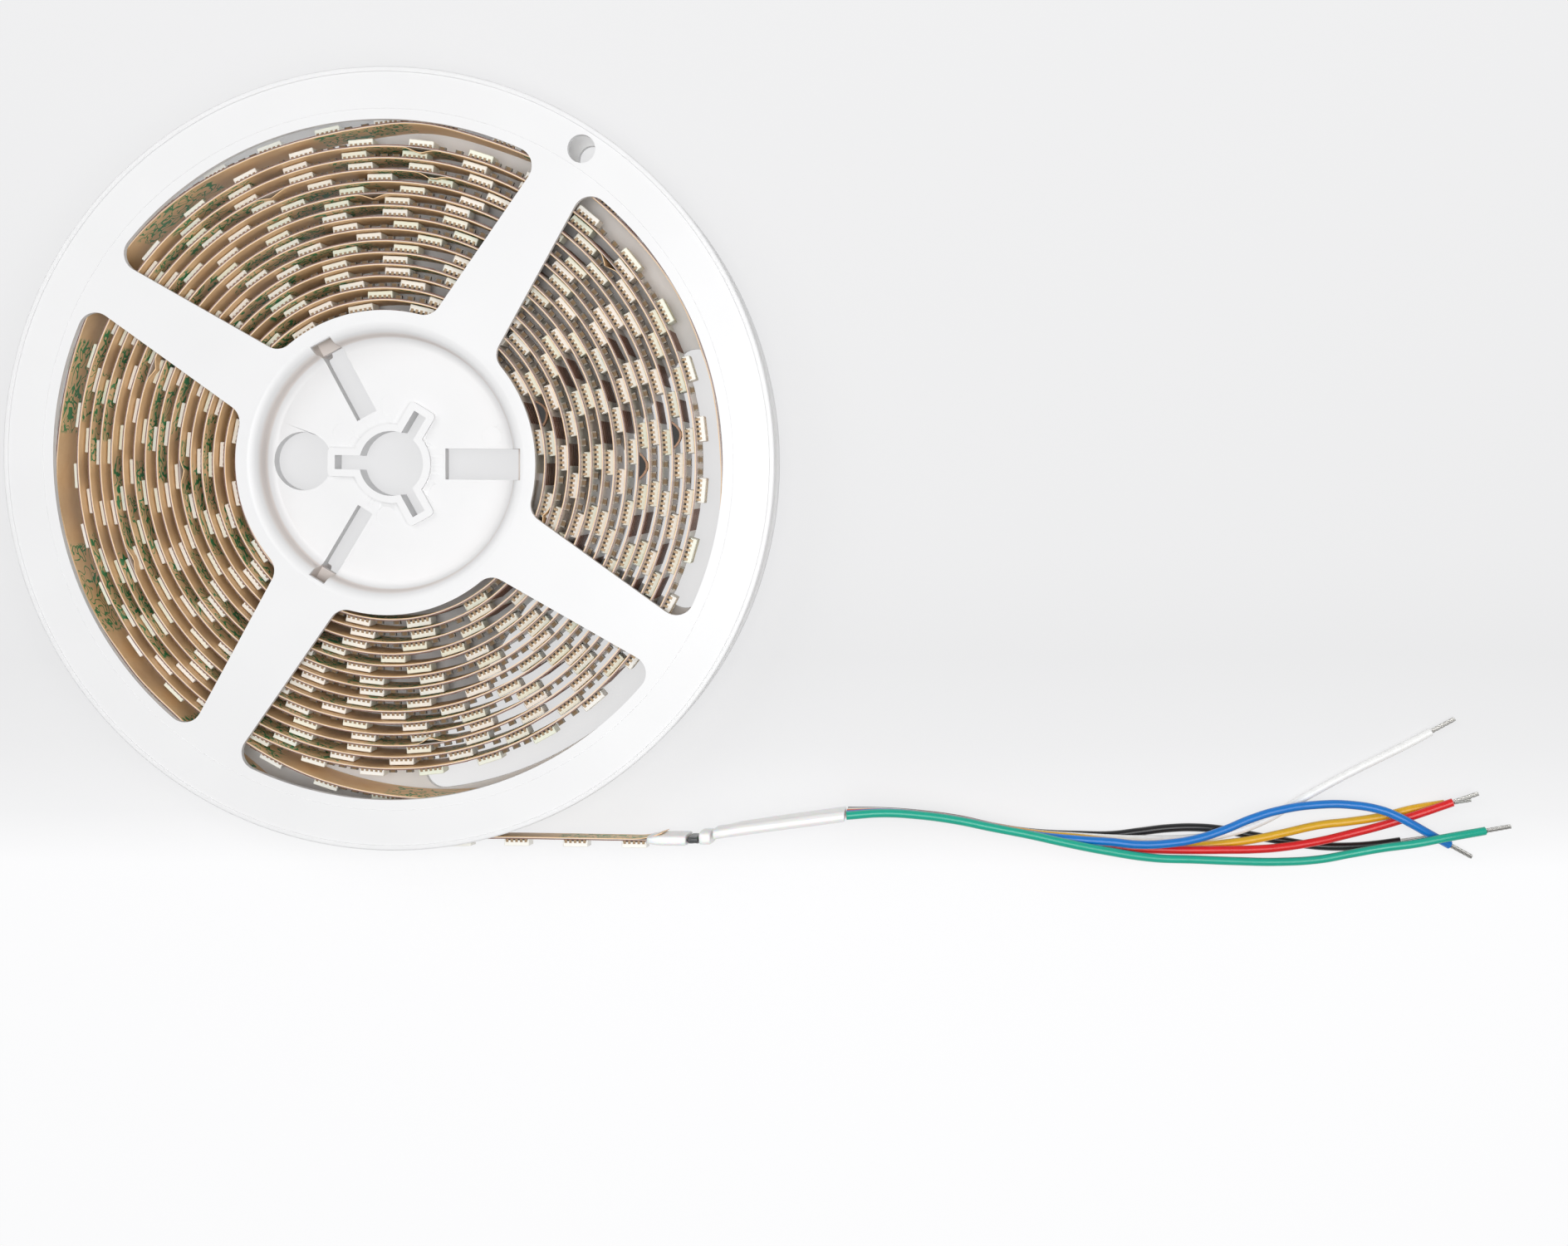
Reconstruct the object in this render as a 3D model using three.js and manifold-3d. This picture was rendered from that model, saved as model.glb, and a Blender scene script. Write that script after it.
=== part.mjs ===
// LED strip light reel: a two-part moulded reel lying on its back flange, wound with an LED strip whose
// end leaves the reel through a soft end cap and a shrink sleeve into six loose wires.
// Millimetres, +Z up. The reel's axis is Z, and the origin is its centre on the resting plane.

import * as THREE from 'three';
import { mergeVertices } from 'three/addons/utils/BufferGeometryUtils.js';
import Module from 'manifold-3d';

// Reel moulding
const reelDiameter = 155;
const flangeThickness = 1.5;
const beadWidth = 1.1;
const beadRise = 0.3;
const drumDiameter = 56.6;
const drumWall = 2.8;
const lipChamfer = 1.6;
const webThickness = 1.6;
const webDepth = 6.2;
const halvesGap = 0.3;
const boreDiameter = 13;
const boreCollarWall = 1.45;
const boreCollarRise = 1;
const keywayWidth = 2.8;
const keywayReach = 11.5;
const keywayAngles = [58, 178, 298];
const driveSlots = [
  { angle: 359, width: 6.2 },
  { angle: 117.5, width: 4.5 },
  { angle: 238, width: 3.5 },
];
const driveSlotStart = 10.8;
const gripHoleDiameter = 11.8;
const gripHoleRadius = 18.2;
const rimHoleDiameter = 5.5;
const rimHoleInset = 4.6;
const rimHoleAngle = 56.5;

// Flange windows
const rimBand = 10.2;
const hubRing = 1.85;
const spokeRootWidth = 14.3;
const spokeTipWidth = 10.3;
const backSpokeWidth = 12;
const spokeAngles = [57, 147, 237, 327];
const windowCorner = 3.6;
const backBandHalfWidth = 37;
const backBandSpokes = [327, 147];
const rimFacets = 60;
const windowFacets = 6;

// LED strip
const stripWidth = 12;
const stripThickness = 0.45;
const stripSideClearance = 0.3;
const drumClearance = 0.35;
const turnPitch = 2.31;
const lastTightRadius = 63.2;
const tightTurnEnd = 242;
const ledPitch = 11.95;
const ledSize = 5;
const ledHeight = 1.6;
const ledForward = 1;
const ledSink = 0.05;
const tailInset = 0.1;
const lastLedX = 48.2;

// Strip end, sleeve and wires
const joinGap = 0.3;
const capLength = 8;
const capThickness = 2.4;
const capWall = 0.8;
const capFit = 0.3;
const capLip = 0.2;
const capTaper = 3;
const bandLength = 2;
const bandThickness = 1.6;
const cuffLength = 2.2;
const cuffThickness = 2.8;
const cuffWidth = 13.2;
const cuffLift = 0.4;
const sleeveThickness = 2.4;
const sleeveWidth = 12.6;
const wireDiameter = 1.7;
const wireSides = 8;
const wireStep = 4.6;
const tinnedDiameter = 0.95;
const tinnedLength = 5;

// Derived places
const reelRadius = reelDiameter / 2;
const drumRadius = drumDiameter / 2;
const recessRadius = drumRadius - drumWall;
const windowOuterRadius = reelRadius - rimBand;
const windowInnerRadius = drumRadius + hubRing;
const rimHoleRadius = reelRadius - rimHoleInset;
const flangeInner = beadRise + flangeThickness;
const stripBottom = flangeInner + stripSideClearance;
const stripTop = stripBottom + stripWidth;
const stripMiddle = stripBottom + stripWidth / 2;
const reelWidth = stripTop + stripBottom;
const halfDepth = (reelWidth - halvesGap) / 2;
const tailY = -(reelRadius - ledHeight - stripThickness - tailInset);
const stripEndX = lastLedX + ledPitch / 2;

// Last, loose turn of the strip and its straight tail, chosen by hand: x, y of the liner face
const looseTurn = [
  [-15.9, -62.9],
  [-0.6, -66.5],
  [14.5, -66.8],
  [30.6, -63.9],
  [50, -49.3],
  [61.1, -29.9],
  [66.1, -12],
  [66.5, 2.8],
  [64, 18.7],
  [56, 36.5],
  [39.8, 53.3],
  [23.5, 62.1],
  [2.3, 66.5],
  [-34.8, 56.4],
  [-56.9, 35.2],
  [-66.7, 1.7],
  [-62.7, -23.2],
  [-52.8, -40.1],
  [-42.1, -51.3],
  [-31.8, -61.7],
  [-21.6, -69.8],
  [-10.4, -73.8],
  [4, tailY],
  [20.7, tailY],
  [37.4, tailY],
  [stripEndX, tailY],
];
const stripEnd = new THREE.Vector2(stripEndX, tailY - stripThickness / 2);
const capStart = lastLedX + ledSize / 2 + joinGap;
const capOverlap = stripEnd.x - capStart;
const bandStart = capStart + capLength + joinGap;
const cuffStart = bandStart + bandLength + joinGap;
const cuffY = stripEnd.y + cuffLift;
const sleeveStart = new THREE.Vector2(cuffStart + cuffLength + 2 * joinGap, -74.6);
const sleeveEnd = new THREE.Vector2(90.6, -71.2);

// Wire routes, chosen by hand from the sleeve's mouth to the stripped end
const wireRoutes = {
  black: [
    [91, -71.3, 3.1], [98.6, -71.5, 2.4], [106, -72.2, 1.5], [113.5, -73.3, 0.9], [120.9, -74.9, 0.9],
    [128.2, -76, 0.9], [138.8, -76.5, 0.9], [144.5, -76.5, 0.9], [150.1, -75.8, 0.9], [155.7, -75.1, 0.9],
    [161.5, -74.9, 0.9], [167.1, -75.4, 0.9], [172.7, -76.5, 0.9], [178.4, -77.5, 0.9],
    [186, -78.6, 0.9], [192.3, -78.7, 0.9], [197.4, -78.3, 0.9], [202.2, -77.6, 0.9],
  ],
  white: [
    [91, -71.2, 5.1], [98.5, -71.3, 4.4], [105.9, -72, 3.5], [113.4, -73.1, 3], [120.7, -74.6, 2.9],
    [128.1, -75.8, 2.9], [138.6, -76.6, 2.9], [149.9, -77.1, 2.5], [161.3, -76.8, 2.4],
    [168.5, -75.5, 2.8], [175.4, -73, 2], [179.5, -70.7, 1.5], [185.9, -67.1, 1], [192.1, -63.7, 0.9],
    [198.4, -60.5, 0.9], [204.6, -57.3, 0.9], [208, -55.4, 0.9],
  ],
  yellow: [
    [91, -71.1, 7.1], [98.5, -71.1, 6.4], [105.8, -71.7, 5.5], [113.3, -72.8, 5], [120.6, -74.3, 4.9],
    [127.9, -75.5, 4.9], [138.2, -76.5, 4.9], [144, -77.2, 4.8], [149.6, -77.9, 4.4],
    [155.3, -78.3, 4], [162.4, -78.1, 3.8], [166.7, -77.7, 3.7], [172.3, -77, 3.2], [178, -75.9, 2.5],
    [185.8, -74.3, 1.5], [192.2, -73.6, 1], [198.5, -72.6, 0.9], [204.8, -71, 0.9], [210.8, -70, 0.9],
  ],
  red: [
    [91, -70.9, 9.1], [98.4, -70.8, 8.4], [105.7, -71.4, 7.5], [113.2, -72.5, 7], [120.4, -74, 6.9],
    [127.7, -75.4, 6.9], [138.2, -77.1, 6.8], [145.1, -78.1, 6.6], [155, -78.6, 6], [160.8, -78.7, 5.7],
    [166.4, -78.7, 5.3], [172.1, -78.7, 4.7], [177.8, -78.4, 4], [185.6, -77.3, 3], [192, -75.9, 2.2],
    [198.3, -74.2, 2.2], [204.4, -72.1, 2.8], [212, -69.4, 2.8],
  ],
  blue: [
    [91, -70.8, 11.1], [98.4, -70.5, 10.4], [105.6, -71.1, 9.6], [113, -72.2, 9], [120.3, -73.7, 8.9],
    [127.5, -75.1, 8.9], [138, -76.2, 8.8], [143.6, -76.6, 8.5], [149.1, -77.2, 8.1],
    [154.8, -77.1, 7.5], [160.6, -76.3, 6.7], [166.3, -74.6, 5.9], [171.9, -72.4, 5.1],
    [177.6, -70.8, 4.4], [185.4, -69.8, 3.6], [191.7, -69.8, 3.7], [197.8, -70.8, 4.4],
    [200.8, -72, 4.8], [204, -73.7, 4.7], [207.1, -75.5, 4.2], [211.4, -77.9, 3.3],
  ],
  green: [
    [91, -70.7, 13.1], [98.3, -70.3, 12.4], [105.5, -70.8, 11.7], [112.9, -71.9, 11.1],
    [120.1, -73.4, 10.9], [127.3, -74.8, 10.9], [134.7, -76.5, 10.6], [142.1, -78.1, 9.8],
    [152, -79.8, 8.5], [160.5, -80.3, 7.4], [169, -80.8, 6.3], [177.6, -81.1, 5.2], [185.4, -80.7, 4.6],
    [191.7, -79.5, 4.7], [197.8, -78.2, 5.5], [203.8, -77.2, 6.3], [209.9, -76, 6.2], [217.9, -74.8, 4.9],
  ],
};

// Materials
const materials = {
  plastic: new THREE.MeshStandardMaterial({ color: 0xf1f1f0, roughness: 0.42, metalness: 0 }),
  strip: new THREE.MeshStandardMaterial({ color: 0xc98a4f, roughness: 0.6, metalness: 0 }),
  cap: new THREE.MeshStandardMaterial({ color: 0xf2f2ee, roughness: 0.5, metalness: 0 }),
  band: new THREE.MeshStandardMaterial({ color: 0x2e3032, roughness: 0.55, metalness: 0 }),
  sleeve: new THREE.MeshStandardMaterial({ color: 0xf4f4f2, roughness: 0.45, metalness: 0 }),
  tinned: new THREE.MeshStandardMaterial({ color: 0xb4b4b0, roughness: 0.35, metalness: 1 }),
};
const wireColours = {
  black: 0x0d0d0d,
  white: 0xf2f2f2,
  yellow: 0xd9a50f,
  red: 0xd60a0c,
  blue: 0x056fd4,
  green: 0x08a98c,
};

const wasm = await Module();
wasm.setup();

const radians = (degrees) => (degrees * Math.PI) / 180;

// Solids from geometries, and back
function solid(geometry) {
  const bare = geometry.clone();
  bare.deleteAttribute('normal');
  bare.deleteAttribute('uv');
  const merged = mergeVertices(bare, 1e-5);
  return new wasm.Manifold(new wasm.Mesh({
    numProp: 3,
    vertProperties: merged.attributes.position.array,
    triVerts: new Uint32Array(merged.index.array),
  }));
}

function geometryOf(body) {
  const mesh = body.getMesh();
  const geometry = new THREE.BufferGeometry();
  geometry.setAttribute('position', new THREE.BufferAttribute(mesh.vertProperties, 3));
  geometry.setIndex(new THREE.BufferAttribute(mesh.triVerts, 1));
  geometry.computeVertexNormals();
  return geometry;
}

// A bar that runs outwards from radius "from" to radius "to" at an angle, cut or joined at heights z0 to z1
function radialBar(from, to, width, z0, z1, angle) {
  const bar = new THREE.BoxGeometry(to - from, width, z1 - z0);
  bar.translate((from + to) / 2, 0, (z0 + z1) / 2);
  bar.rotateZ(radians(angle));
  return solid(bar);
}

function post(radius, z0, z1, x, y, sides) {
  const cylinder = new THREE.CylinderGeometry(radius, radius, z1 - z0, sides);
  cylinder.rotateX(Math.PI / 2);
  cylinder.translate(x, y, (z0 + z1) / 2);
  return solid(cylinder);
}

const polar = (radius, angle) => [radius * Math.cos(radians(angle)), radius * Math.sin(radians(angle))];

// Window outlines. A spoke lies along +X, and the window is on its +Y side. This one lies between two spokes
// that taper outwards, so its straight sides lean by that taper
function quarterWindow() {
  const taper = Math.atan2((spokeRootWidth - spokeTipWidth) / 2, windowOuterRadius - windowInnerRadius);
  const edge = (spokeRootWidth / 2) * Math.cos(taper) + windowInnerRadius * Math.sin(taper);
  const off = edge + windowCorner;
  const outer = Math.sqrt((windowOuterRadius - windowCorner) ** 2 - off ** 2);
  const inner = Math.sqrt((windowInnerRadius + windowCorner) ** 2 - off ** 2);
  const corner = (along) => new THREE.Vector2(along, off).rotateAround(new THREE.Vector2(), -taper);
  const far = corner(outer);
  const near = corner(inner);
  const outerTurn = far.angle();
  const innerTurn = near.angle();
  const quarter = Math.PI / 2;
  const shape = new THREE.Shape();
  shape.absarc(far.x, far.y, windowCorner, -quarter - taper, outerTurn, false);
  shape.absarc(0, 0, windowOuterRadius, outerTurn, quarter - outerTurn, false);
  shape.absarc(far.y, far.x, windowCorner, quarter - outerTurn, Math.PI + taper, false);
  shape.absarc(near.y, near.x, windowCorner, Math.PI + taper, 1.5 * Math.PI - innerTurn, false);
  shape.absarc(0, 0, windowInnerRadius, quarter - innerTurn, innerTurn, true);
  shape.absarc(near.x, near.y, windowCorner, Math.PI + innerTurn, 1.5 * Math.PI - taper, false);
  return shape;
}

// Half of the circular segment outside the back flange's solid band, on the +Y side of its spoke
function segmentWindow() {
  const edge = backSpokeWidth / 2;
  const off = edge + windowCorner;
  const reach = windowOuterRadius - windowCorner;
  const bandOff = backBandHalfWidth + windowCorner;
  const outer = Math.sqrt(reach ** 2 - off ** 2);
  const end = Math.sqrt(reach ** 2 - bandOff ** 2);
  const quarter = Math.PI / 2;
  const shape = new THREE.Shape();
  shape.moveTo(bandOff, edge);
  shape.lineTo(outer, edge);
  shape.absarc(outer, off, windowCorner, -quarter, Math.atan2(off, outer), false);
  shape.absarc(0, 0, windowOuterRadius, Math.atan2(off, outer), Math.atan2(end, bandOff), false);
  shape.absarc(bandOff, end, windowCorner, Math.atan2(end, bandOff), Math.PI, false);
  shape.lineTo(backBandHalfWidth, off);
  shape.absarc(bandOff, off, windowCorner, Math.PI, 1.5 * Math.PI, false);
  return shape;
}

function windowCutter(shape, angle) {
  const cut = new THREE.ExtrudeGeometry(shape, {
    depth: flangeThickness * 3,
    bevelEnabled: false,
    curveSegments: windowFacets,
  });
  cut.translate(0, 0, beadRise - flangeThickness);
  cut.rotateZ(radians(angle));
  return solid(cut);
}

// One half of the reel with its outer face down: flange, rim bead, drum wall, web and bore collar
function reelHalf(windowCutters, turned) {
  const angleOf = (angle) => (turned ? -angle : angle);
  const webFace = beadRise + webDepth;
  const webBack = webFace + webThickness;
  const profile = [
    [0, webFace],
    [recessRadius, webFace],
    [recessRadius, beadRise + lipChamfer],
    [recessRadius + lipChamfer, beadRise],
    [reelRadius - beadWidth, beadRise],
    [reelRadius - beadWidth, 0],
    [reelRadius, 0],
    [reelRadius, flangeInner],
    [drumRadius, flangeInner],
    [drumRadius, halfDepth],
    [recessRadius, halfDepth],
    [recessRadius, webBack],
    [0, webBack],
  ];
  const lathe = new THREE.LatheGeometry(profile.map(([r, z]) => new THREE.Vector2(r, z)), rimFacets);
  let body = solid(lathe.rotateX(Math.PI / 2));
  const collarFace = webFace - boreCollarRise;
  const collarRadius = boreDiameter / 2 + boreCollarWall;
  const collarReach = keywayReach + boreCollarWall;
  body = body.add(post(collarRadius, collarFace, webFace + 0.1, 0, 0, 36));
  for (const angle of keywayAngles) {
    const wide = keywayWidth + 2 * boreCollarWall;
    body = body.add(radialBar(0, collarReach, wide, collarFace, webFace + 0.1, angleOf(angle)));
  }
  body = body.subtract(post(boreDiameter / 2, 0, reelWidth, 0, 0, 36));
  for (const angle of keywayAngles) {
    body = body.subtract(radialBar(0, keywayReach, keywayWidth, 0, reelWidth, angleOf(angle)));
  }
  for (const { angle, width } of driveSlots) {
    const slot = (reach, z0, z1) => radialBar(driveSlotStart, reach, width, z0, z1, angleOf(angle));
    body = body.subtract(slot(recessRadius, 0, reelWidth));
    body = body.subtract(slot(recessRadius + lipChamfer, 0, flangeInner));
    body = body.subtract(slot(drumRadius + 1, flangeInner, webFace + webThickness / 2));
  }
  const gripAngle = angleOf(keywayAngles[1]);
  const [gripX, gripY] = polar(gripHoleRadius, gripAngle);
  const gripHole = post(gripHoleDiameter / 2, 0, reelWidth, gripX, gripY, 28);
  const gripFlat = radialBar(0, collarReach, gripHoleDiameter, 0, reelWidth, gripAngle);
  body = body.subtract(gripHole.subtract(gripFlat));
  const [holeX, holeY] = polar(rimHoleRadius, angleOf(rimHoleAngle));
  body = body.subtract(post(rimHoleDiameter / 2, -1, flangeInner + 1, holeX, holeY, 20));
  for (const cutter of windowCutters) {
    body = body.subtract(cutter);
  }
  return body;
}

function backHalf() {
  const mirrored = (angle) => windowCutter(segmentWindow(), angle).mirror(
    new THREE.Vector3(-Math.sin(radians(angle)), Math.cos(radians(angle)), 0).toArray(),
  );
  const cutters = backBandSpokes.flatMap((angle) => [windowCutter(segmentWindow(), angle), mirrored(angle)]);
  return geometryOf(reelHalf(cutters, false));
}

function frontHalf() {
  const cutters = spokeAngles.map((angle) => windowCutter(quarterWindow(), -angle));
  const geometry = geometryOf(reelHalf(cutters, true));
  geometry.rotateX(Math.PI);
  geometry.translate(0, 0, reelWidth);
  return geometry;
}

// The strip's route: tight spiral turns outwards, then the loose last turn and the tail. The strip is
// straight from LED to LED, so its first turn stands off the drum by the sag of one such step
function stripRoute() {
  const stepSag = ledPitch ** 2 / (8 * drumRadius);
  const start = drumRadius + drumClearance + stepSag;
  const turns = (lastTightRadius - start) / turnPitch;
  const first = tightTurnEnd - turns * 360;
  const perTurn = 24;
  const count = Math.floor(turns * perTurn);
  const points = [];
  for (let i = 0; i <= count; i += 1) {
    const angle = first + (i * 360) / perTurn;
    const [x, y] = polar(start + (turnPitch * i) / perTurn, angle);
    points.push(new THREE.Vector3(x, y, 0));
  }
  for (const [x, y] of looseTurn) {
    points.push(new THREE.Vector3(x, y, 0));
  }
  const route = new THREE.CatmullRomCurve3(points, false, 'centripetal');
  route.arcLengthDivisions = points.length * 12;
  return route;
}

// The roll is one solid: the flexible board with its paper liner, and an LED on each straight step
function ledStrip() {
  const route = stripRoute();
  const steps = Math.round(route.getLength() / ledPitch);
  const line = route.getSpacedPoints(steps);
  const outward = line.map((point, i) => {
    const before = line[Math.max(i - 1, 0)];
    const after = line[Math.min(i + 1, steps)];
    const along = new THREE.Vector3().subVectors(after, before).normalize();
    return new THREE.Vector3(along.y, -along.x, 0);
  });
  const outer = line.map((point, i) => point.clone().addScaledVector(outward[i], stripThickness));
  const outline = [...line, ...outer.slice().reverse()];
  const shape = new THREE.Shape(outline.map((point) => new THREE.Vector2(point.x, point.y)));
  const ribbon = new THREE.ExtrudeGeometry(shape, { depth: stripWidth, bevelEnabled: false });
  ribbon.translate(0, 0, stripBottom);
  const pieces = [solid(ribbon)];
  for (let i = 0; i < steps; i += 1) {
    const middle = new THREE.Vector3().addVectors(outer[i], outer[i + 1]).multiplyScalar(0.5);
    const along = new THREE.Vector3().subVectors(outer[i + 1], outer[i]);
    const led = new THREE.BoxGeometry(ledSize, ledHeight + ledSink, ledSize);
    led.translate(0, -(ledHeight - ledSink) / 2, 0);
    led.rotateZ(Math.atan2(along.y, along.x));
    led.translate(middle.x, middle.y, stripMiddle + ledForward);
    pieces.push(solid(led));
  }
  return geometryOf(wasm.Manifold.union(pieces));
}

// Soft boot over the strip's cut end, with a tongue that tapers down onto the strip
function stripEndCap() {
  const half = capThickness / 2;
  const tip = stripThickness / 2 + capFit + capLip;
  const shoulder = capStart + capTaper;
  const bend = capStart + capTaper / 3;
  const shape = new THREE.Shape();
  shape.moveTo(capStart, stripEnd.y - tip);
  shape.quadraticCurveTo(bend, stripEnd.y - half, shoulder, stripEnd.y - half);
  shape.lineTo(capStart + capLength, stripEnd.y - half);
  shape.lineTo(capStart + capLength, stripEnd.y + half);
  shape.lineTo(shoulder, stripEnd.y + half);
  shape.quadraticCurveTo(bend, stripEnd.y + half, capStart, stripEnd.y + tip);
  const width = stripWidth + 2 * (capWall + capFit);
  const boot = new THREE.ExtrudeGeometry(shape, { depth: width, bevelEnabled: false, curveSegments: 5 });
  boot.translate(0, 0, stripMiddle - width / 2);
  const pocket = new THREE.BoxGeometry(
    2 * (capOverlap + capFit),
    stripThickness + 2 * capFit,
    stripWidth + 2 * capFit,
  );
  pocket.translate(capStart, stripEnd.y, stripMiddle);
  return geometryOf(solid(boot).subtract(solid(pocket)));
}

// A flat piece with round edges that starts at x = from, as wide as the strip and level with its middle
function flatRing(from, length, y, thickness, width) {
  const shape = new THREE.Shape();
  const r = thickness / 2;
  const straight = width / 2 - r;
  shape.absarc(0, straight, r, 0, Math.PI, false);
  shape.absarc(0, -straight, r, Math.PI, 2 * Math.PI, false);
  const piece = new THREE.ExtrudeGeometry(shape, { depth: length, bevelEnabled: false, curveSegments: 6 });
  piece.rotateY(Math.PI / 2);
  piece.rotateX(Math.PI / 2);
  piece.translate(from, y, stripMiddle);
  return piece;
}

function wireSleeve() {
  const run = new THREE.Vector2().subVectors(sleeveEnd, sleeveStart);
  const sleeve = flatRing(0, run.length(), 0, sleeveThickness, sleeveWidth);
  sleeve.translate(0, 0, -stripMiddle);
  sleeve.rotateZ(run.angle());
  sleeve.translate(sleeveStart.x, sleeveStart.y, stripMiddle);
  return sleeve;
}

function ringShape(diameter, sides) {
  const shape = new THREE.Shape();
  for (let i = 0; i < sides; i += 1) {
    const [x, y] = polar(diameter / 2, (360 * i) / sides);
    if (i === 0) {
      shape.moveTo(x, y);
    } else {
      shape.lineTo(x, y);
    }
  }
  return shape;
}

function wireCurve(points) {
  const knots = points.map(([x, y, z]) => new THREE.Vector3(x, y, z));
  return new THREE.CatmullRomCurve3(knots, false, 'centripetal');
}

function wireTube(points) {
  const curve = wireCurve(points);
  return new THREE.ExtrudeGeometry(ringShape(wireDiameter, wireSides), {
    steps: Math.round(curve.getLength() / wireStep),
    bevelEnabled: false,
    extrudePath: curve,
  });
}

// The stripped, tinned core, straight on from the insulation's end
function tinnedCore(points) {
  const curve = wireCurve(points);
  const end = curve.getPoint(1);
  const along = curve.getTangent(1);
  const core = new THREE.CylinderGeometry(tinnedDiameter / 2, tinnedDiameter / 2, tinnedLength, wireSides);
  core.translate(0, joinGap + tinnedLength / 2, 0);
  core.applyQuaternion(new THREE.Quaternion().setFromUnitVectors(new THREE.Vector3(0, 1, 0), along));
  core.translate(end.x, end.y, end.z);
  return core;
}

const reel = new THREE.Group();

function place(name, geometry, material) {
  const mesh = new THREE.Mesh(geometry, material);
  mesh.name = name;
  reel.add(mesh);
}

place('back_half', backHalf(), materials.plastic);
place('front_half', frontHalf(), materials.plastic);
place('led_strip', ledStrip(), materials.strip);
place('strip_end_cap', stripEndCap(), materials.cap);

place('joint_band', flatRing(bandStart, bandLength, stripEnd.y, bandThickness, stripWidth), materials.band);
place('sleeve_cuff', flatRing(cuffStart, cuffLength, cuffY, cuffThickness, cuffWidth), materials.sleeve);
place('wire_sleeve', wireSleeve(), materials.sleeve);

for (const [colour, points] of Object.entries(wireRoutes)) {
  const insulation = new THREE.MeshStandardMaterial({
    color: wireColours[colour],
    roughness: 0.4,
    metalness: 0,
  });
  place(`${colour}_wire`, wireTube(points), insulation);
  place(`${colour}_wire_end`, tinnedCore(points), materials.tinned);
}

export default reel;
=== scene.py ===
# LED strip light reel: a white moulded reel wound with an LED strip, whose end leaves the reel along the
# table and goes through a shrink sleeve into six short coloured wires with tinned ends.
# Sizes are written in millimetres. Each piece is made in millimetres and set to metres as it is finished.

import bisect
import math
import random

import bmesh
import bpy
from mathutils import Matrix, Vector


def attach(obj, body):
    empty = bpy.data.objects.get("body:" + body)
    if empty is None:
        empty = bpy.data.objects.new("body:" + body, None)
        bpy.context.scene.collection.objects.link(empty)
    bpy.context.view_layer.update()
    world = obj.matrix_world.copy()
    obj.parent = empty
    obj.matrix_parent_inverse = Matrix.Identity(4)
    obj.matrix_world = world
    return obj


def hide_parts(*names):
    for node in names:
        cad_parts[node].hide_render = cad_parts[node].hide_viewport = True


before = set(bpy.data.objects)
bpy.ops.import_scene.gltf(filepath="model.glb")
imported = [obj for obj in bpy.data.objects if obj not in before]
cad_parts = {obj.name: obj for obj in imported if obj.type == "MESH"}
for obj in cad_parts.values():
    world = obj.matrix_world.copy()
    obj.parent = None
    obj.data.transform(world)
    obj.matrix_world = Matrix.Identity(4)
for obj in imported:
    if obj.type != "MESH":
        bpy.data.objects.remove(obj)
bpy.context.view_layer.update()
scene = bpy.context.scene
scene.view_settings.view_transform = "Standard"
mm = 0.001

# Camera. It looks down on the reel's front face from beyond the reel's right rim, so that the inner side of
# the turns shows at the left and the LEDs' side at the right.
image_width = 1888
focal_pixels = 2536.04
roll = 0.47
camera_data = bpy.data.cameras.new("camera")
camera_data.sensor_width = 36
camera_data.lens = focal_pixels / image_width * camera_data.sensor_width
camera_data.clip_start = 0.01
camera = bpy.data.objects.new("camera", camera_data)
scene.collection.objects.link(camera)
scene.camera = camera
eye = Vector((105.85, -3.75, 428.55)) * mm
aim = Vector((79.09, -32, 16.2)) * mm
back_axis = (eye - aim).normalized()
upright = Vector((math.sin(math.radians(roll)), math.cos(math.radians(roll)), 0))
right_axis = upright.cross(back_axis).normalized()
up_axis = back_axis.cross(right_axis)
camera_turn = Matrix((right_axis, up_axis, back_axis)).transposed().to_4x4()
camera.matrix_world = Matrix.Translation(eye) @ camera_turn


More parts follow.
